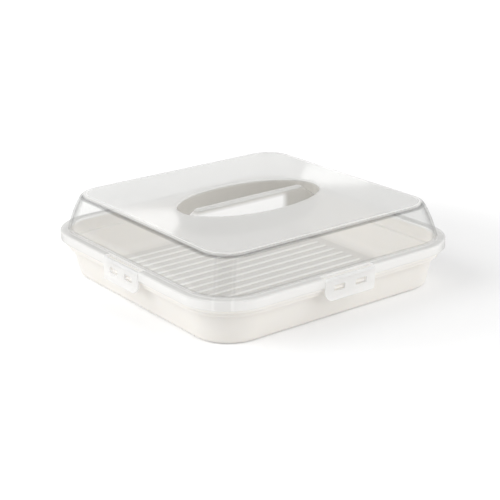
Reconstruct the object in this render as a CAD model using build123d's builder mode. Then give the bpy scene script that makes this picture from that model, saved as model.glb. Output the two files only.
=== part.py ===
"""Square cake carrier: ribbed tray, clear domed lid with a sunk pinch grip, and four swing clips.

Frame: millimetres, +Z up, origin at the middle of the underside that it stands on.
The grip runs along X. Front is -Y, back is +Y, left is -X and right is +X.
"""
from build123d import *
from math import cos, radians, sin, tan
import os

# Overall
carrier_width = 305.0       # across the lid's skirt, the same both ways
carrier_height = 84.0
lid_corner = 52.0           # corner radius of the skirt's outside, seen from above

# Heights of the joint line
seat_height = 46.0          # top of the tray's rim
seat_gap = 0.1              # between the rim and the lid's flange
flange_wall = 2.2           # thickness of the lid's flange
skirt_drop = 9.3            # from the flange's top down to the skirt's lower edge
skirt_wall = 2.1
flange_ledge = 8.3          # width of the flange outside the dome

# Dome
dome_wall = 2.0
dome_foot_lean = 12.0       # degrees from upright, where the dome leaves the flange
dome_head_lean = 31.0       # degrees from upright, where the top round starts
dome_top_round = 7.0
dome_foot_fillet = 2.0
flange_edge_round = 1.6
skirt_edge_round = 0.6

# Sunk grip
well_length = 162.5
well_width = 95.0
well_depth = 21.0
well_draft = 12.0
well_rim_round = 2.0
well_floor_round = 6.0
ridge_end_room = 17.5       # from the well's end to the crest's
ridge_width = 10.0
ridge_sink = 0.4            # from the lid's top down to the crest
ridge_end_round = 4.5       # end of the crest, seen from above
ridge_crest_round = 3.0
ridge_waist_depth = 9.0     # below the crest, where the ridge starts to flare
ridge_waist_spread = 4.5    # how far the waist stands out from the crest at each side
ridge_waist_run = 13.0      # and at each end
ridge_waist_round = 7.0
ridge_foot_spread = 22.0    # how far the foot stands out from the crest at each side
ridge_foot_run = 30.0       # and at each end, which takes it through the well's end wall
ridge_foot_round = 16.0

# Tray
tray_wall = 2.3
tray_floor = 2.4
tray_lean = 12.5            # degrees from upright
tray_corner_ease = 2.0      # how much fuller the tray's corner radius is than the skirt's
tray_base_round = 4.5
tray_inner_round = 8.0
rim_depth = 11.5            # from the seat down to the rim's lower edge
rim_step = 2.5              # how far the rim stands out from the shoulder
shoulder_depth = 4.0        # height of the shoulder under the rim
shoulder_step = 4.9         # how far the shoulder stands out from the wall
foot_height = 1.0           # recess under the floor, inside the ring it stands on
foot_width = 16.0
rim_edge_round = 1.0
ledge_round = 1.4
foot_edge_round = 0.4

# Floor ribs, which run along X
rib_count = 17
rib_width = 4.4
rib_height = 1.0
rib_draft = 30.0
rib_end_margin = 15.0       # from the end of the flat floor
rib_side_margin = 17.0      # from the side of the flat floor to the outermost rib's middle

# Swing clips
clip_width = 60.0
clip_wall = 1.6
knuckle_radius = 2.2        # outside of the barrel round the hinge bar
clip_side_gap = 0.5         # between a clip and the ends of its notch
clip_drop = 19.7            # from the hinge line to the lower edge
clip_curl = 40.0            # degrees that the finger edge turns outward
clip_curl_radius = 12.0
clip_corner = 8.5
bar_radius = 1.0
bar_clearance = 0.08        # all round, between the bar and the clip's bore
bar_bite = 1.0              # how far the bar's ends run into the skirt
snap_mouth = 1.5            # mouth of the bore, which the bar was pushed in through
bar_sink = 0.8              # from the flange's top down to the knuckle's
notch_depth = 7.5           # from the skirt's outside in
knuckle_rim_gap = 0.35      # between a clip's knuckle and the tray's rim

# Catches: two windows in each clip, over two lugs of the tray
window_spacing = 26.0
window_width = 13.4
window_height = 5.8
window_drop = 5.7           # from the hinge line to the window's upper edge
window_round = 1.0
lug_side_gap = 0.5
lug_end_gap = 1.3           # above and below the lug in its window
lug_reach_gap = 0.3         # between the lug and the clip's inner face
lug_nose = 1.2              # height of the lug's blunt outer end

# Worked out from the sizes above
skirt_half = carrier_width / 2
flange_under = seat_height + seat_gap
flange_top = flange_under + flange_wall
skirt_bottom = flange_top - skirt_drop
dome_foot_half = skirt_half - flange_ledge
bar_half = skirt_half - skirt_wall / 2
bar_height = flange_top - bar_sink - knuckle_radius
rim_half = bar_half - knuckle_radius - knuckle_rim_gap
tray_corner = lid_corner - (skirt_half - rim_half) + tray_corner_ease
rim_bottom = seat_height - rim_depth
shoulder_bottom = rim_bottom - shoulder_depth
shoulder_half = rim_half - rim_step
tray_slope = tan(radians(tray_lean))
base_half = shoulder_half - shoulder_step - tray_slope * shoulder_bottom
tray_skin = tray_wall / cos(radians(tray_lean))
floor_top = foot_height + tray_floor
notch_half = clip_width / 2 + clip_side_gap
lug_width = window_width - 2 * lug_side_gap
lug_height = window_height - 2 * lug_end_gap
lug_reach = bar_half - lug_reach_gap
window_middle = bar_height - window_drop - window_height / 2
well_lean = radians(well_draft)
well_floor = carrier_height - well_depth
side_turns = {"right": 0, "back": 90, "left": 180, "front": -90}


def square_path(half, corner):
    """Rounded square on the ground, run from the middle of the right side and back to it."""
    with BuildLine() as path:
        run = FilletPolyline(
            (half, 0), (half, half), (-half, half), (-half, -half), (half, -half), (half, -half / 4),
            radius=corner,
        )
        Line(run @ 1, run @ 0)
    return path.wires()[0]


def outward(turn):
    return Vector(1, 0, 0).rotate(Axis.Z, turn)


def side_plane(turn):
    """Upright plane across one side's middle: x runs outward, y runs up."""
    return Plane(origin=(0, 0, 0), x_dir=outward(turn), z_dir=outward(turn).cross(Vector(0, 0, 1)))


def facing_plane(turn):
    """Upright plane along one side, through its hinge line: it faces outward and y runs up."""
    return Plane(
        origin=outward(turn) * bar_half,
        x_dir=Vector(0, 0, 1).cross(outward(turn)),
        z_dir=outward(turn),
    )


def leaf(half_length, half_width, end_round):
    """Long outline with bowed sides that run smoothly into round ends."""
    reach = half_length - end_round
    side_radius = (reach**2 + half_width**2 - end_round**2) / (2 * (half_width - end_round))
    meet = Vector(reach, side_radius - half_width).normalized() * side_radius
    end_x, end_y = meet.X, meet.Y + half_width - side_radius
    with BuildSketch() as outline:
        with BuildLine():
            ThreePointArc((-end_x, end_y), (0, half_width), (end_x, end_y))
            ThreePointArc((end_x, end_y), (half_length, 0), (end_x, -end_y))
            ThreePointArc((end_x, -end_y), (0, -half_width), (-end_x, -end_y))
            ThreePointArc((-end_x, -end_y), (-half_length, 0), (-end_x, end_y))
        make_face()
    return outline.sketch


def well_form(skin, top, bottom):
    """Oval form of the well, or the form that lies outside it by the skin."""
    with BuildPart() as form:
        for height in (top, bottom):
            drawn_in = tan(well_lean) * (carrier_height - height) - skin / cos(well_lean)
            with BuildSketch(Plane.XY.offset(height)):
                Ellipse(well_length / 2 - drawn_in, well_width / 2 - drawn_in)
        loft()
        fillet(at_height(form.edges(), bottom), well_floor_round + skin)
    return form.part


def ridge_form(skin):
    """Pinch ridge with a narrow crest, a waist and a flared foot, or the hollow that lies inside it."""
    with BuildPart() as form:
        for depth, spread, run, end_round in ridge_levels:
            with BuildSketch(Plane.XY.offset(carrier_height - ridge_sink - depth - skin)):
                add(leaf(ridge_half + run - skin, crest_half + spread - skin, end_round - skin))
        loft()
    return form.part


def export(piece, name):
    piece.label = name
    export_step(piece, f"parts/{name}.step")


def at_height(edges, height):
    return edges.filter_by_position(Axis.Z, height - 0.01, height + 0.01)


os.makedirs("parts", exist_ok=True)


# Tray: one swept wall and rim, closed by the floor plate
foot_inner_half = base_half - foot_width
floor_seam = foot_inner_half - 5
shelf_height = shoulder_bottom + tray_wall
mouth_half = shoulder_half - tray_wall
inner_foot_half = base_half + tray_slope * floor_top - tray_skin
flat_floor_half = inner_foot_half - tray_inner_round * tan(radians(45 - tray_lean / 2))

tray_outline = [
    ((floor_seam, foot_height), 0),
    ((foot_inner_half, foot_height), foot_edge_round),
    ((foot_inner_half, 0), foot_edge_round),
    ((base_half, 0), tray_base_round),
    ((base_half + tray_slope * shoulder_bottom, shoulder_bottom), rim_edge_round),
    ((shoulder_half, shoulder_bottom), rim_edge_round),
    ((shoulder_half, rim_bottom), rim_edge_round / 2),
    ((rim_half, rim_bottom), rim_edge_round),
    ((rim_half, seat_height), rim_edge_round),
    ((mouth_half, seat_height), rim_edge_round),
    ((mouth_half, shelf_height), ledge_round),
    ((base_half + tray_slope * shelf_height - tray_skin, shelf_height), ledge_round),
    ((inner_foot_half, floor_top), tray_inner_round),
    ((floor_seam, floor_top), 0),
]

with BuildPart() as tray:
    with BuildSketch(Plane.XZ):
        with BuildLine():
            FilletPolyline(
                [point for point, round_off in tray_outline],
                radius=[round_off for point, round_off in tray_outline],
                close=True,
            )
        make_face()
    sweep(path=square_path(rim_half, tray_corner))
    with BuildSketch(Plane.XY.offset(foot_height)):
        plate_half = (floor_seam + foot_inner_half) / 2
        RectangleRounded(2 * plate_half, 2 * plate_half, plate_half - (rim_half - tray_corner))
    extrude(amount=tray_floor)
    with BuildSketch(Plane.XY.offset(floor_top)):
        rib_pitch = 2 * (flat_floor_half - rib_side_margin) / (rib_count - 1)
        with GridLocations(0, rib_pitch, 1, rib_count):
            SlotOverall(2 * (flat_floor_half - rib_end_margin), rib_width)
    extrude(amount=rib_height, taper=rib_draft)
    for turn in side_turns.values():
        for side in (-1, 1):
            with BuildSketch(side_plane(turn).offset(side * window_spacing / 2)):
                with BuildLine():
                    Polyline(
                        (rim_half - 1, window_middle - lug_height / 2),
                        (lug_reach, window_middle - lug_height / 2),
                        (lug_reach, window_middle - lug_height / 2 + lug_nose),
                        (rim_half, window_middle + lug_height / 2),
                        (rim_half - 1, window_middle + lug_height / 2),
                        close=True,
                    )
                make_face()
            extrude(amount=lug_width / 2, both=True)
export(tray.part, "tray")


# Sunk grip: a hollow ridge along the middle of an oval well, whose ends run into the well's end walls
ridge_half = well_length / 2 - ridge_end_room
crest_half = ridge_width / 2
ridge_levels = [
    (0, 0, 0, ridge_end_round),
    (ridge_waist_depth, ridge_waist_spread, ridge_waist_run, ridge_waist_round),
    (well_depth + dome_wall / 2, ridge_foot_spread, ridge_foot_run, ridge_foot_round),
]

with BuildPart() as ridge:
    add(ridge_form(0))
    fillet(ridge.faces().sort_by(Axis.Z)[-1].edges(), ridge_crest_round)

with BuildPart() as well:
    add(well_form(0, carrier_height + 1, well_floor))
    add(ridge.part, mode=Mode.SUBTRACT)


# Lid: swept dome, flange and skirt, closed by the panel, with the grip sunk into it
foot_lean = radians(dome_foot_lean)
head_lean = radians(dome_head_lean)
dome_rise = carrier_height - flange_top - dome_top_round * (1 - sin(head_lean))
dome_radius = dome_rise / (sin(head_lean) - sin(foot_lean))
dome_head_half = dome_foot_half - dome_radius * (cos(foot_lean) - cos(head_lean))
panel_half = dome_head_half - dome_top_round * cos(head_lean)
panel_seam = panel_half - 3
panel_under = carrier_height - dome_wall
inner_foot = (dome_foot_half - dome_wall * cos(foot_lean), flange_top - dome_wall * sin(foot_lean))

with BuildPart() as lid:
    with BuildSketch(Plane.XZ) as lid_section:
        with BuildLine():
            rising = (-sin(foot_lean), cos(foot_lean))
            turn_in = dome_head_lean - dome_foot_lean
            outer_wall = JernArc((dome_foot_half, flange_top), rising, dome_radius, turn_in)
            outer_round = JernArc(outer_wall @ 1, outer_wall % 1, dome_top_round, 90 - dome_head_lean)
            Polyline(
                outer_round @ 1,
                (panel_seam, carrier_height),
                (panel_seam, panel_under),
                (panel_half, panel_under),
            )
            inner_wall = JernArc(inner_foot, rising, dome_radius - dome_wall, turn_in)
            JernArc(inner_wall @ 1, inner_wall % 1, dome_top_round - dome_wall, 90 - dome_head_lean)
            Polyline(
                inner_foot,
                (inner_foot[0], flange_under),
                (skirt_half - skirt_wall, flange_under),
                (skirt_half - skirt_wall, skirt_bottom),
                (skirt_half, skirt_bottom),
                (skirt_half, flange_top),
                (dome_foot_half, flange_top),
            )
        make_face()
        corners = lid_section.vertices()
        fillet(corners.sort_by_distance((dome_foot_half, flange_top))[0], dome_foot_fillet)
        fillet(lid_section.vertices().sort_by_distance((skirt_half, flange_top))[0], flange_edge_round)
        fillet(lid_section.vertices().group_by(Axis.Y)[0], skirt_edge_round)
    sweep(path=square_path(skirt_half, lid_corner))
    with BuildSketch(Plane.XY.offset(panel_under)):
        plate_half = (panel_seam + panel_half) / 2
        RectangleRounded(2 * plate_half, 2 * plate_half, plate_half - (skirt_half - lid_corner))
    extrude(amount=dome_wall)

    # The cup that hangs from the panel, the well round its ridge, then the ridge's hollow
    add(well_form(dome_wall, carrier_height, well_floor - dome_wall))
    add(well.part, mode=Mode.SUBTRACT)
    well_rim = at_height(lid.edges(), carrier_height).filter_by(lambda edge: edge.is_closed)
    fillet(well_rim, well_rim_round)
    add(ridge_form(dome_wall), mode=Mode.SUBTRACT)

    # Notch and hinge bar on every side
    for turn in side_turns.values():
        with BuildSketch(side_plane(turn)):
            with Locations((skirt_half - notch_depth, skirt_bottom - 1)):
                Rectangle(notch_depth + 1, skirt_drop + 2, align=(Align.MIN, Align.MIN))
        extrude(amount=notch_half, both=True, mode=Mode.SUBTRACT)
        with BuildSketch(side_plane(turn)):
            with Locations((bar_half, bar_height)):
                Circle(bar_radius)
        extrude(amount=notch_half + bar_bite, both=True)
export(lid.part, "lid")


# Clips: a side profile cut to the outline that shows from outside
def make_clip(turn):
    plate_bottom = bar_height - clip_drop
    curl = radians(clip_curl)
    curl_start = plate_bottom + (clip_curl_radius + clip_wall / 2) * sin(curl)
    with BuildPart() as clip:
        with BuildSketch(side_plane(turn)):
            with BuildLine():
                down = Line((bar_half, bar_height), (bar_half, curl_start))
                inner = JernArc(down @ 1, (0, -1), clip_curl_radius + clip_wall / 2, clip_curl)
                out = Line((bar_half + clip_wall, bar_height), (bar_half + clip_wall, curl_start))
                outer = JernArc(out @ 1, (0, -1), clip_curl_radius - clip_wall / 2, clip_curl)
                Line(inner @ 1, outer @ 1)
                Line(down @ 0, out @ 0)
            make_face()
            with Locations((bar_half, bar_height)):
                Circle(knuckle_radius)
                Circle(bar_radius + bar_clearance, mode=Mode.SUBTRACT)
            with Locations((bar_half, bar_height)):
                Rectangle(2 * knuckle_radius, snap_mouth, align=(Align.MAX, Align.CENTER), mode=Mode.SUBTRACT)
        extrude(amount=clip_width / 2, both=True)
        with BuildSketch(facing_plane(turn)) as outline:
            with Locations((0, plate_bottom)):
                Rectangle(clip_width, clip_drop + 2 * knuckle_radius, align=(Align.CENTER, Align.MIN))
            fillet(outline.vertices().group_by(Axis.Y)[0], clip_corner)
            with Locations((-window_spacing / 2, window_middle), (window_spacing / 2, window_middle)):
                RectangleRounded(window_width, window_height, window_round, mode=Mode.SUBTRACT)
        extrude(amount=clip_drop, both=True, mode=Mode.INTERSECT)
    return clip.part


for side_name, side_turn in side_turns.items():
    export(make_clip(side_turn), f"clip_{side_name}")
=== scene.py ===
"""Square cake carrier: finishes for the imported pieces, and a plain studio to see them in."""
import bmesh
import bpy
from math import cos, radians, sin
from mathutils import Matrix, Vector


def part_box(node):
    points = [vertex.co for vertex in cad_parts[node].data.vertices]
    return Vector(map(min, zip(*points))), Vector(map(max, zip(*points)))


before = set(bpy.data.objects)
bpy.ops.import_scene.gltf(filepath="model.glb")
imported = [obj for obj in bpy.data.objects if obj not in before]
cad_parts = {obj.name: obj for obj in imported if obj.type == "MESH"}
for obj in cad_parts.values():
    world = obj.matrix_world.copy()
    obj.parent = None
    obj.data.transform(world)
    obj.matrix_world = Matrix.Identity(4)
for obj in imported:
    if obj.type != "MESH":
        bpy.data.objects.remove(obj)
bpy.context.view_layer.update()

bl_info = {
    "name": "Square Cake Carrier",
    "version": (1, 0, 0),
    "blender": (4, 5, 0),
    "location": "View3D > Sidebar > Cake Carrier",
    "description": "Finishes a square cake carrier and sets up a plain studio for it",
    "category": "Object",
}

TRAY = "tray"
LID = "lid"
CLIPS = ("clip_front", "clip_back", "clip_left", "clip_right")
LID_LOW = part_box(LID)[0][2]
LID_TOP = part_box(LID)[1][2]
PLASTIC_IOR = 1.49
HALF_WAY = 0.5              # blend of Layer Weight that runs evenly with the angle

# Lengths are in metres, and shares are of 1. A fade is given by where it is 0 and where it is 1. A line or a
# band is given by where it starts, where it is full, how far it stays full and where it ends.

# Tray: painted shade between the floor's ribs and a painted highlight on their tops, and the grain of the
# plastic
FLOOR_HALF = 0.122          # from the middle to the end of the ribs
FLOOR_FADE = (0.004, 0.0)   # outwards from the ribbed floor
RIB_TOP = 0.0044
# height over which the painted shade in the grooves turns into the painted highlight on the rib tops
RIB_HIGHLIGHT_FADE = (RIB_TOP - 0.0007, RIB_TOP - 0.0001)
SPREAD_SHARE = 0.15         # light that spreads inside the plastic
SPREAD_RADIUS = (1.0, 0.9, 0.7)                 # for red, green and blue, times the scale
SPREAD_SCALE = 0.003
CLOUD_SCALE = 60            # clouds over a metre, in the roughness
CLOUD_DETAIL = 2
CLOUD_SPREAD = 0.08
GRAIN_SCALE = 1800          # grains over a metre, in the bump
GRAIN_DETAIL = 3
GRAIN_STRENGTH = 0.12
GRAIN_HEIGHT = 0.0001

# Lid: where its zones lie
SAME_LEVEL = 1e-5           # points this near the top's height lie in the flat panel
SAME_EDGE = 1e-4            # and this near its furthest point, on its straight edge
RIM_TOP = LID_LOW + 0.0093  # upper face of the flange
RIM_FADE = (RIM_TOP + 0.0015, RIM_TOP)
FROST_FADE = (0.0, -0.004)  # outwards from the panel's edge, as are the next two
WALL_FADE = (0.0, 0.006)
# painted highlight line along the top's rounded edge, and painted dark lines below it and at the dome's foot,
# standing in for light bent by the edges
PAINTED_HIGHLIGHT_LINE = (-0.0006, 0.0, 0.0014, 0.0022)
PAINTED_DARK_LINE_FADE = (0.0018, 0.0026)               # outwards from the panel's edge too
PAINTED_DARK_LINE = (0.0004, 0.0009, 0.0030, 0.0040)    # down from the top
PAINTED_FOOT_LINE = (0.0, 0.0004, 0.0014, 0.0026)       # up from the flange
# painted dark band down each corner of the dome and painted light bands at its sides, standing in for
# reflection and refraction there
CORNER_SHIFT = 0.004        # along Y, from the dome's diagonal to the middle of a corner's band
PAINTED_CORNER_FADE = (0.0105, 0.0085)                  # outwards from that middle, as is the next
PAINTED_CORNER_SIDES = (0.0095, 0.0115, 0.0125, 0.0155)
# painted shade in the grip's well
WELL_MIDDLE = (0.0, 0.0, 0.0)
WELL_HALF = (0.0835, 0.0497)
WELL_FADE = (1.0, 0.985)    # of the oval's size
WELL_DEPTH_FADE = (LID_TOP - 0.0008, LID_TOP - 0.003)
RIDGE_HIGHLIGHT_MIDDLE = (-0.015, 0.0, 0.0)               # of the painted highlight on the ridge, which stops short of the right end
RIDGE_HIGHLIGHT_HALF = (0.061, 0.029)
RIDGE_HIGHLIGHT_FADE = (1.0, 0.86)    # of the oval's size
RIDGE_HIGHLIGHT_DEPTH_FADE = (LID_TOP - 0.0015, LID_TOP - 0.006)

# Lid: how much haze, painted dark and gloss each zone has
GRAZING_FADE = (0.92, 1.0)  # from 0, seen square on, to 1, seen edge on
# more milk where seen edge on, a painted highlight along the dome's outline
GRAZING_HIGHLIGHT_HAZE = 0.5
# haze of the painted light bands at the corners' sides, of the painted shade in the grip's well and of the
# painted highlight on its ridge
PAINTED_CORNER_SIDE_HAZE = 0.07
WELL_SHADE_HAZE = 0.85
RIDGE_HIGHLIGHT_HAZE = 0.97
# strength of the painted dark lines and of the painted shade down the corners
PAINTED_DARK_LINE_SHARE = 0.3
PAINTED_FOOT_LINE_SHARE = 0.13
PAINTED_CORNER_SHARE = 0.035
# painted shade along the dome's walls where seen edge on, standing in for refraction at the outline
OUTLINE_SHADE_FADE = (0.42, 0.85)    # from 0, seen square on, to 1, seen edge on
OUTLINE_SHADE_SHARE = 0.2
MILK_ROUGHNESS = 0.3
MILK_GLOW = 0.45            # share of the milk that lets soft light through
RIDGE_HIGHLIGHT_GLOW = 0.1            # the same in the ridge
GLOSS_ROUGHNESS = 0.05
MIRROR_LEAST = 0.04         # gloss where the plastic is seen square on
MIRROR_PANEL = 0.9          # gloss that the edge-on view adds to it on the top
MIRROR_WALL = 0.35          # and on the dome's walls
MIRROR_POWER = 5            # how steeply that gloss grows towards the edge-on view

# Clips
CLIP_ROUGHNESS = 0.28
CLIP_GLOW = 0.35
CLIP_TINT = (0.97, 0.97, 0.97)

# Stage
WHITE = (1.0, 1.0, 1.0)
BLACK = (0.0, 0.0, 0.0)
FLOOR_SIZE = 8
PAPER = (0.8, 0.8, 0.8)
SHADOW_MIDDLE = (0.09, -0.05, 0.0)
SHADOW_FADE = (0.17, 0.5)   # outwards from the shadow's middle
LIFT_NEAR = 0.18            # light that the paper adds by itself near the shadow's middle
LIFT_FAR = 0.68             # and far from it
SENSOR_WIDTH = 36           # mm
LAMP_SIZE = 2.0
LAMPS = (("key", (-1.78, 0.75, 1.1), "key_power"), ("fill", (1.0, -1.7, 1.05), "fill_power"))
CARD_DISTANCE = 3.0         # from the lid's top, along the line of sight that it mirrors
LEFT_PATCH = ((-0.138, 0.058), (-0.084, 0.013), (-0.096, -0.020), (-0.126, -0.050), (-0.198, -0.044))
RIGHT_PATCH = ((0.115, 0.049), (0.077, 0.016), (0.077, -0.010), (0.116, -0.042), (0.214, -0.005))
FRONT_PATCH = (
    (-0.096, -0.020), (0.077, -0.010), (0.116, -0.042), (0.160, -0.079), (0.100, -0.300), (-0.160, -0.200),
    (-0.126, -0.050))
# Name of each card, the patch of the lid's flat top in which the camera sees it, and its strength
CARDS = (("card_left", LEFT_PATCH, 2.0), ("card_right", RIGHT_PATCH, 1.85), ("card_dark", FRONT_PATCH, 0.88))


class CarrierTraySettings(bpy.types.PropertyGroup):
    color: bpy.props.FloatVectorProperty(
        name="Colour", description="Cream of the tray's plastic", subtype="COLOR", size=3,
        default=(0.87, 0.845, 0.805), min=0, max=1)
    # painted shade between the ribs
    painted_groove_shade: bpy.props.FloatVectorProperty(
        name="Groove colour", description="Duller floor between the ribs", subtype="COLOR", size=3,
        default=(0.73, 0.71, 0.68), min=0, max=1)
    # painted highlight on the rib tops
    painted_rib_highlight: bpy.props.FloatVectorProperty(
        name="Rib colour", description="Light tops of the floor's ribs", subtype="COLOR", size=3,
        default=(1.0, 0.99, 0.96), min=0, max=1)
    roughness: bpy.props.FloatProperty(
        name="Roughness", description="Roughness of the satin face", default=0.42, min=0, max=1)


class CarrierLidSettings(bpy.types.PropertyGroup):
    tint: bpy.props.FloatVectorProperty(
        name="Tint", description="Colour of the light that passes one face of the clear plastic",
        subtype="COLOR", size=3, default=(0.965, 0.967, 0.965), min=0, max=1)
    milk: bpy.props.FloatVectorProperty(
        name="Milk", description="Colour of the haze in the plastic", subtype="COLOR", size=3,
        default=(0.845, 0.845, 0.838), min=0, max=1)
    # the flange's and skirt's own milk, which also colours the painted highlights on the grip's ridge and the
    # top's edge
    rim_milk_and_highlight: bpy.props.FloatVectorProperty(
        name="Rim milk", description="Colour of the flange, skirt, grip ridge and the top's bright edge",
        subtype="COLOR", size=3, default=(0.95, 0.95, 0.94), min=0, max=1)
    # painted shade in the grip's well
    painted_grip_shade: bpy.props.FloatVectorProperty(
        name="Grip milk", description="Colour of the grip's well, duller than its ridge", subtype="COLOR",
        size=3, default=(0.54, 0.525, 0.49), min=0, max=1)
    wall_haze: bpy.props.FloatProperty(
        name="Wall haze", description="Share of milk in the dome's walls", default=0.07, min=0, max=1)
    panel_haze: bpy.props.FloatProperty(
        name="Panel haze", description="Share of milk in the frosted top", default=0.5, min=0, max=1)
    rim_haze: bpy.props.FloatProperty(
        name="Rim haze", description="Share of milk in the flange and skirt", default=0.72, min=0, max=1)
    light_pass: bpy.props.FloatProperty(
        name="Light let through", description="Share of light that passes one face", default=0.94, min=0,
        max=1)


class CarrierClipSettings(bpy.types.PropertyGroup):
    color: bpy.props.FloatVectorProperty(
        name="Colour", description="Milky white of the clips", subtype="COLOR", size=3,
        default=(0.97, 0.97, 0.965), min=0, max=1)
    clearness: bpy.props.FloatProperty(
        name="Clearness", description="Share of light that passes straight through", default=0.36, min=0,
        max=1)


class CarrierStageSettings(bpy.types.PropertyGroup):
    azimuth: bpy.props.FloatProperty(
        name="Azimuth", description="Camera's turn round the carrier", default=radians(-36.794),
        subtype="ANGLE")
    elevation: bpy.props.FloatProperty(
        name="Elevation", description="Camera's height above the horizon", default=radians(19.595),
        subtype="ANGLE")
    distance: bpy.props.FloatProperty(
        name="Distance", description="Camera's distance from the carrier", default=1.33505, unit="LENGTH")
    side_step: bpy.props.FloatProperty(
        name="Side step", description="Camera's shift to its right", default=-0.0003, unit="LENGTH")
    lift: bpy.props.FloatProperty(
        name="Lift", description="Camera's shift upwards", default=0.0257, unit="LENGTH")
    roll: bpy.props.FloatProperty(
        name="Roll", description="Camera's tilt about its line of sight", default=-0.0144, subtype="ANGLE")
    lens: bpy.props.FloatProperty(
        name="Lens", description="Focal length on a sensor 36 mm wide", default=94.67)
    key_power: bpy.props.FloatProperty(
        name="Key power", description="Power of the big soft lamp at the left", default=34.5, subtype="POWER")
    fill_power: bpy.props.FloatProperty(
        name="Fill power", description="Power of the soft lamp at the right", default=28, subtype="POWER")
    room_light: bpy.props.FloatProperty(
        name="Room light", description="Strength of the even light all round", default=0.5, min=0)


class Nodes:
    """Node tree of a material or of the world, with short ways to add and join its nodes."""

    def __init__(self, owner, output="OutputMaterial"):
        self.owner = owner
        owner.use_nodes = True
        self.tree = owner.node_tree
        self.tree.nodes.clear()
        self.output = self.add(output)

    def add(self, kind, **settings):
        node = self.tree.nodes.new("ShaderNode" + kind)
        for key, setting in settings.items():
            setattr(node, key, setting)
        return node

    def put(self, node, socket, value):
        """Give a node's input a value, or join it to another node's output."""
        target = node.inputs[socket]
        if isinstance(value, bpy.types.NodeSocket):
            self.tree.links.new(value, target)
        elif target.type == "RGBA":
            target.default_value = (*value, 1)
        else:
            target.default_value = value

    def make(self, kind, inputs, **settings):
        """Add a node, fill its inputs and return its first output."""
        node = self.add(kind, **settings)
        for socket, value in inputs.items():
            self.put(node, socket, value)
        return node.outputs[0]

    def math(self, operation, first, second=0.0, third=0.0):
        return self.make("Math", {0: first, 1: second, 2: third}, operation=operation)

    def chain(self, operation, *values):
        """Run a sum, product or maximum over all the values."""
        result = values[0]
        for value in values[1:]:
            result = self.math(operation, result, value)
        return result

    def vector(self, operation, first, second=(0.0, 0.0, 0.0)):
        return self.make("VectorMath", {0: first, 1: second}, operation=operation)

    def length(self, vector):
        node = self.add("VectorMath", operation="LENGTH")
        self.put(node, 0, vector)
        return node.outputs["Value"]

    def beyond(self, vector, half):
        """Distance outwards from a box round the origin, given by half its size."""
        past = self.vector("SUBTRACT", self.vector("ABSOLUTE", vector), half)
        return self.length(self.vector("MAXIMUM", past, (0, 0, 0)))

    def oval(self, middle, half):
        """Run from 0 in the middle of an upright oval to 1 at its edge."""
        off = self.vector("SUBTRACT", self.place(), middle)
        return self.length(self.vector("MULTIPLY", off, (1 / half[0], 1 / half[1], 0)))

    def ramp(self, value, low, high):
        """Run smoothly from 0 at low to 1 at high."""
        return self.make(
            "MapRange", {"Value": value, "From Min": low, "From Max": high}, interpolation_type="SMOOTHSTEP")

    def band(self, value, start, full, still_full, end):
        """Run smoothly from 0 at start to 1 at full, and from 1 at still_full back to 0 at end."""
        return self.math("MULTIPLY", self.ramp(value, start, full), self.ramp(value, end, still_full))

    def place(self):
        return self.add("TexCoord").outputs["Object"]

    def apart(self, vector):
        """Outputs that hold a vector's X, Y and Z."""
        node = self.add("SeparateXYZ")
        self.put(node, 0, vector)
        return node.outputs

    def facing(self):
        """Run from 0 where the surface is seen square on to 1 where it is seen edge on."""
        node = self.add("LayerWeight")
        self.put(node, "Blend", HALF_WAY)
        return node.outputs["Facing"]

    def noise(self, scale, detail):
        return self.make("TexNoise", {"Vector": self.place(), "Scale": scale, "Detail": detail})

    def tone(self, share, first, second):
        return self.make("MixRGB", {0: share, 1: first, 2: second})

    def mix(self, share, first, second):
        return self.make("MixShader", {0: share, 1: first, 2: second})

    def clear(self, color):
        return self.make("BsdfTransparent", {"Color": color})

    def finish(self, shader):
        self.tree.links.new(shader, self.output.inputs["Surface"])
        return self.owner


def give(name, material):
    """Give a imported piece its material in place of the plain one."""
    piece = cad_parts[name]
    piece.data.materials.clear()
    piece.data.materials.append(material)


def cream_plastic(s):
    """Satin moulded plastic with a fine even grain, with painted shade between the floor's ribs and a painted
    highlight on their tops.
    """
    n = Nodes(bpy.data.materials.new("cream_plastic"))
    height = n.apart(n.place())["Z"]
    past_floor = n.beyond(n.place(), (FLOOR_HALF, FLOOR_HALF, RIB_TOP))
    # painted shade in the grooves and painted highlight on the rib tops, chosen by height
    floor = n.tone(n.ramp(height, *RIB_HIGHLIGHT_FADE), s.painted_groove_shade, s.painted_rib_highlight)
    cloud = n.noise(CLOUD_SCALE, CLOUD_DETAIL)
    grain = n.noise(GRAIN_SCALE, GRAIN_DETAIL)
    return n.finish(n.make("BsdfPrincipled", {
        "Base Color": n.tone(n.ramp(past_floor, *FLOOR_FADE), s.color, floor),
        "IOR": PLASTIC_IOR,
        "Subsurface Weight": SPREAD_SHARE,
        "Subsurface Radius": SPREAD_RADIUS,
        "Subsurface Scale": SPREAD_SCALE,
        "Roughness": n.math("MULTIPLY_ADD", cloud, CLOUD_SPREAD, s.roughness - CLOUD_SPREAD / 2),
        "Normal": n.make("Bump", {"Height": grain, "Strength": GRAIN_STRENGTH, "Distance": GRAIN_HEIGHT}),
    }))


def past_panel(n):
    """Distance outwards from the edge of the flat top panel, seen from above."""
    panel = [v.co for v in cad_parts[LID].data.vertices if v.co.z > LID_TOP - SAME_LEVEL]
    panel_half = max(co.x for co in panel)
    straight_half = max(co.y for co in panel if co.x > panel_half - SAME_EDGE)
    from_above = n.vector("MULTIPLY", n.place(), (1, 1, 0))
    past = n.beyond(from_above, (straight_half, straight_half, 0))
    return n.math("SUBTRACT", past, panel_half - straight_half)


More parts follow.
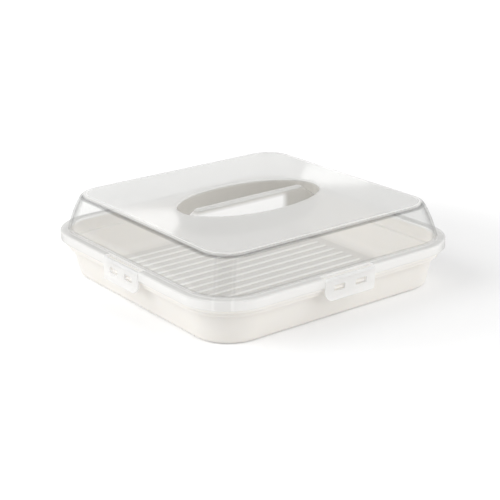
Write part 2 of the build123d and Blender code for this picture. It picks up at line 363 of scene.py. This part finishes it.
def painted_dome_lines(n, past, height):
    """Painted highlight line and painted dark line round the top panel, standing in for light bent by its
    rounded edge, and the painted dark line at the dome's foot.
    """
    bright = n.band(past, *PAINTED_HIGHLIGHT_LINE)
    below_top = n.math("SUBTRACT", LID_TOP, height)
    dark = n.math("MULTIPLY", n.ramp(past, *PAINTED_DARK_LINE_FADE), n.band(below_top, *PAINTED_DARK_LINE))
    foot = n.band(n.math("SUBTRACT", height, RIM_TOP), *PAINTED_FOOT_LINE)
    return bright, dark, foot


def painted_corner_bands(n, on_wall):
    """Painted dark band down each corner of the dome, and the narrow painted light bands at its sides,
    standing in for reflection and refraction there.
    """
    apart = n.apart(n.vector("ABSOLUTE", n.place()))
    skew = n.math("SUBTRACT", n.math("SUBTRACT", apart["Y"], apart["X"]), CORNER_SHIFT)
    off = n.math("ABSOLUTE", skew)
    return (n.math("MULTIPLY", n.ramp(off, *PAINTED_CORNER_FADE), on_wall),
            n.math("MULTIPLY", n.band(off, *PAINTED_CORNER_SIDES), on_wall))


def grip_shade_and_highlight(n, height):
    """Painted shade in the grip's well, and the painted highlight on part of its ridge."""
    return (n.math("MULTIPLY", n.ramp(n.oval(WELL_MIDDLE, WELL_HALF), *WELL_FADE),
                   n.ramp(height, *WELL_DEPTH_FADE)),
            n.math("MULTIPLY", n.ramp(n.oval(RIDGE_HIGHLIGHT_MIDDLE, RIDGE_HIGHLIGHT_HALF), *RIDGE_HIGHLIGHT_FADE),
                   n.ramp(height, *RIDGE_HIGHLIGHT_DEPTH_FADE)))


def clear_plastic(s):
    """Clear plastic with a slight haze, frosted over the top, and milky in the grip, flange and skirt, with
    painted shade in the grip's well and down the dome's corners, painted highlights on the grip's ridge and
    the top's edge, and painted dark lines round the top and at the dome's foot.
    """
    n = Nodes(bpy.data.materials.new("clear_plastic"))
    past = past_panel(n)
    height = n.apart(n.place())["Z"]
    facing = n.facing()
    on_wall = n.ramp(past, *WALL_FADE)
    rim = n.ramp(height, *RIM_FADE)
    # painted highlight line and painted dark lines round the top panel and at the dome's foot
    painted_highlight_line, painted_dark_line, painted_foot_line = painted_dome_lines(n, past, height)
    # painted dark band down each corner and painted light bands at its sides
    corner, painted_corner_sides = painted_corner_bands(n, on_wall)
    # painted shade in the grip's well and painted highlight on its ridge
    well, ridge = grip_shade_and_highlight(n, height)

    haze = n.math("MULTIPLY_ADD", n.ramp(past, *FROST_FADE), s.panel_haze - s.wall_haze, s.wall_haze)
    haze = n.math("MULTIPLY_ADD", rim, s.rim_haze - s.wall_haze, haze)
    # more milk where seen edge on, a painted highlight along the dome's outline
    grazing_highlight = n.math("MULTIPLY", n.ramp(facing, *GRAZING_FADE), GRAZING_HIGHLIGHT_HAZE)
    haze = n.chain("MAXIMUM", haze, grazing_highlight, painted_highlight_line)
    haze = n.math("MULTIPLY_ADD", painted_corner_sides, PAINTED_CORNER_SIDE_HAZE, haze)
    grip = n.math("MAXIMUM", n.math("MULTIPLY", well, WELL_SHADE_HAZE), n.math("MULTIPLY", ridge, RIDGE_HIGHLIGHT_HAZE))
    haze = n.math("MAXIMUM", haze, grip)

    # milk colour, with painted shade in the grip's well, and the rim's milk also colouring the painted
    # highlight line and the ridge's painted highlight
    color = n.tone(well, s.milk, s.painted_grip_shade)
    color = n.tone(n.chain("MAXIMUM", rim, painted_highlight_line, ridge), color, s.rim_milk_and_highlight)
    milk = n.make("BsdfPrincipled", {"Base Color": color, "IOR": PLASTIC_IOR, "Roughness": MILK_ROUGHNESS})
    glow = n.make("BsdfTranslucent", {"Color": color})
    milk = n.mix(n.math("MULTIPLY_ADD", ridge, RIDGE_HIGHLIGHT_GLOW - MILK_GLOW, MILK_GLOW), milk, glow)

    gloss = n.make("BsdfGlossy", {"Color": WHITE, "Roughness": GLOSS_ROUGHNESS})
    most = n.math("MULTIPLY_ADD", on_wall, MIRROR_WALL - MIRROR_PANEL, MIRROR_PANEL)
    mirror = n.math("MULTIPLY_ADD", n.math("POWER", facing, MIRROR_POWER), most, MIRROR_LEAST)
    plastic = n.mix(mirror, n.mix(haze, n.clear(s.tint), milk), gloss)

    # painted shade: along the outline where seen edge on, in the lines round the top and at the foot, and
    # down the corners
    dark = n.chain(
        "MAXIMUM",
        n.chain("MULTIPLY", n.ramp(facing, *OUTLINE_SHADE_FADE), OUTLINE_SHADE_SHARE, on_wall),
        n.math("MULTIPLY", painted_dark_line, PAINTED_DARK_LINE_SHARE),
        n.math("MULTIPLY", painted_foot_line, PAINTED_FOOT_LINE_SHARE),
        n.math("MULTIPLY", corner, PAINTED_CORNER_SHARE))
    plastic = n.mix(dark, plastic, n.clear(BLACK))

    path = n.add("LightPath").outputs
    soft_light = n.math("MAXIMUM", path["Is Shadow Ray"], path["Is Diffuse Ray"])
    return n.finish(n.mix(soft_light, plastic, n.clear((s.light_pass,) * 3)))


def milky_plastic(s):
    """Thin milky plastic of the clips."""
    n = Nodes(bpy.data.materials.new("milky_plastic"))
    milk = n.make("BsdfPrincipled", {"Base Color": s.color, "IOR": PLASTIC_IOR, "Roughness": CLIP_ROUGHNESS})
    glow = n.make("BsdfTranslucent", {"Color": s.color})
    return n.finish(n.mix(s.clearness, n.mix(CLIP_GLOW, milk, glow), n.clear(CLIP_TINT)))


def seen_white(n):
    """1 for rays that show the background: straight, mirrored or through clear plastic."""
    path = n.add("LightPath").outputs
    return n.chain("MAXIMUM", path["Is Camera Ray"], path["Is Glossy Ray"], path["Is Transmission Ray"])


def floor_paper():
    """White paper that keeps the carrier's shadow and reads as white elsewhere."""
    n = Nodes(bpy.data.materials.new("floor_paper"))
    away = n.ramp(n.length(n.vector("SUBTRACT", n.place(), SHADOW_MIDDLE)), *SHADOW_FADE)
    lift = n.math("MULTIPLY_ADD", away, LIFT_FAR - LIFT_NEAR, LIFT_NEAR)
    paper = n.make("BsdfDiffuse", {"Color": PAPER})
    light = n.make("Emission", {"Strength": n.math("MULTIPLY", seen_white(n), lift)})
    return n.finish(n.make("AddShader", {0: paper, 1: light}))


def studio_world(room_light):
    """White background, with a weaker even light on the carrier."""
    n = Nodes(bpy.data.worlds.new("studio"), "OutputWorld")
    strength = n.math("MULTIPLY_ADD", seen_white(n), 1 - room_light, room_light)
    return n.finish(n.make("Background", {"Color": WHITE, "Strength": strength}))


def card_paper(name, strength):
    """Lit paper that only mirrored rays see."""
    n = Nodes(bpy.data.materials.new(name))
    lit = n.make("Emission", {"Strength": strength})
    return n.finish(n.mix(n.add("LightPath").outputs["Is Glossy Ray"], n.clear(WHITE), lit))


def mirrored(place, patch):
    """Corners of a card whose image in the lid's flat top fills a patch, seen from a place."""
    eye = Vector((place.x, place.y, 2 * LID_TOP - place.z))
    corners = [Vector((x, y, LID_TOP)) for x, y in patch]
    return [eye + (corner - eye) * (1 + CARD_DISTANCE / (corner - eye).length) for corner in corners]


def add_card(context, name, corners, strength):
    mesh = bpy.data.meshes.new(name)
    form = bmesh.new()
    form.faces.new([form.verts.new(corner) for corner in corners])
    form.to_mesh(mesh)
    form.free()
    mesh.materials.append(card_paper(name, strength))
    card = bpy.data.objects.new(name, mesh)
    context.scene.collection.objects.link(card)


def add_lamp(context, name, spot, power):
    """Add a big soft lamp that faces the carrier and doesn't show in its gloss."""
    lamp = bpy.data.lights.new(name, "AREA")
    lamp.energy = power
    lamp.size = LAMP_SIZE
    lit = bpy.data.objects.new(name, lamp)
    lit.matrix_world = Matrix.Translation(spot) @ spot.to_track_quat("Z", "Y").to_matrix().to_4x4()
    lit.visible_glossy = False
    context.scene.collection.objects.link(lit)


def add_camera(context, s):
    """Add the camera, and return the place where it stands."""
    back = Vector((
        sin(s.azimuth) * cos(s.elevation), -cos(s.azimuth) * cos(s.elevation), sin(s.elevation)))
    right = Vector((cos(s.azimuth), sin(s.azimuth), 0))
    up = back.cross(right)
    place = back * s.distance + right * s.side_step + up * s.lift
    rolled_right = right * cos(s.roll) + up * sin(s.roll)
    rolled_up = up * cos(s.roll) - right * sin(s.roll)
    turn = Matrix((rolled_right, rolled_up, back)).transposed()
    data = bpy.data.cameras.new("camera")
    data.lens = s.lens
    data.sensor_width = SENSOR_WIDTH
    camera = bpy.data.objects.new("camera", data)
    camera.matrix_world = Matrix.Translation(place) @ turn.to_4x4()
    context.scene.collection.objects.link(camera)
    context.scene.camera = camera
    return place


def add_floor(context):
    bpy.ops.mesh.primitive_plane_add(size=FLOOR_SIZE)
    floor = context.object
    floor.name = "floor"
    floor.data.materials.append(floor_paper())


class OBJECT_OT_carrier_tray(bpy.types.Operator):
    """Finish the tray in cream plastic"""
    bl_idname = "object.carrier_tray"
    bl_label = "Tray"

    def execute(self, context):
        give(TRAY, cream_plastic(context.scene.carrier_tray))
        return {"FINISHED"}


class OBJECT_OT_carrier_lid(bpy.types.Operator):
    """Finish the lid in clear plastic with a frosted top"""
    bl_idname = "object.carrier_lid"
    bl_label = "Lid"

    def execute(self, context):
        give(LID, clear_plastic(context.scene.carrier_lid))
        return {"FINISHED"}


class OBJECT_OT_carrier_clips(bpy.types.Operator):
    """Finish the four clips in milky plastic"""
    bl_idname = "object.carrier_clips"
    bl_label = "Clips"

    def execute(self, context):
        milky = milky_plastic(context.scene.carrier_clips)
        for name in CLIPS:
            give(name, milky)
        return {"FINISHED"}


class OBJECT_OT_carrier_stage(bpy.types.Operator):
    """Add the camera, the floor, the lamps, the cards and the background"""
    bl_idname = "object.carrier_stage"
    bl_label = "Stage"

    def execute(self, context):
        s = context.scene.carrier_stage
        place = add_camera(context, s)
        add_floor(context)
        for name, spot, power in LAMPS:
            add_lamp(context, name, Vector(spot), getattr(s, power))
        for name, patch, strength in CARDS:
            add_card(context, name, mirrored(place, patch), strength)
        context.scene.world = studio_world(s.room_light)
        context.scene.view_settings.view_transform = "Standard"
        return {"FINISHED"}


class VIEW3D_PT_cake_carrier(bpy.types.Panel):
    bl_label = "Cake Carrier"
    bl_space_type = "VIEW_3D"
    bl_region_type = "UI"
    bl_category = "Cake Carrier"

    def draw(self, context):
        for name in GROUPS:
            self.layout.operator("object." + name)
            settings = getattr(context.scene, name)
            for key in settings.__annotations__:
                self.layout.prop(settings, key)


GROUPS = {
    "carrier_tray": CarrierTraySettings,
    "carrier_lid": CarrierLidSettings,
    "carrier_clips": CarrierClipSettings,
    "carrier_stage": CarrierStageSettings,
}
CLASSES = (
    *GROUPS.values(),
    OBJECT_OT_carrier_tray,
    OBJECT_OT_carrier_lid,
    OBJECT_OT_carrier_clips,
    OBJECT_OT_carrier_stage,
    VIEW3D_PT_cake_carrier,
)


def register():
    for cls in CLASSES:
        bpy.utils.register_class(cls)
    for name, group in GROUPS.items():
        setattr(bpy.types.Scene, name, bpy.props.PointerProperty(type=group))


def unregister():
    for name in GROUPS:
        delattr(bpy.types.Scene, name)
    for cls in reversed(CLASSES):
        bpy.utils.unregister_class(cls)


def main():
    register()
    bpy.ops.object.carrier_tray()
    bpy.ops.object.carrier_lid()
    bpy.ops.object.carrier_clips()
    bpy.ops.object.carrier_stage()


if __name__ == "__main__":
    main()
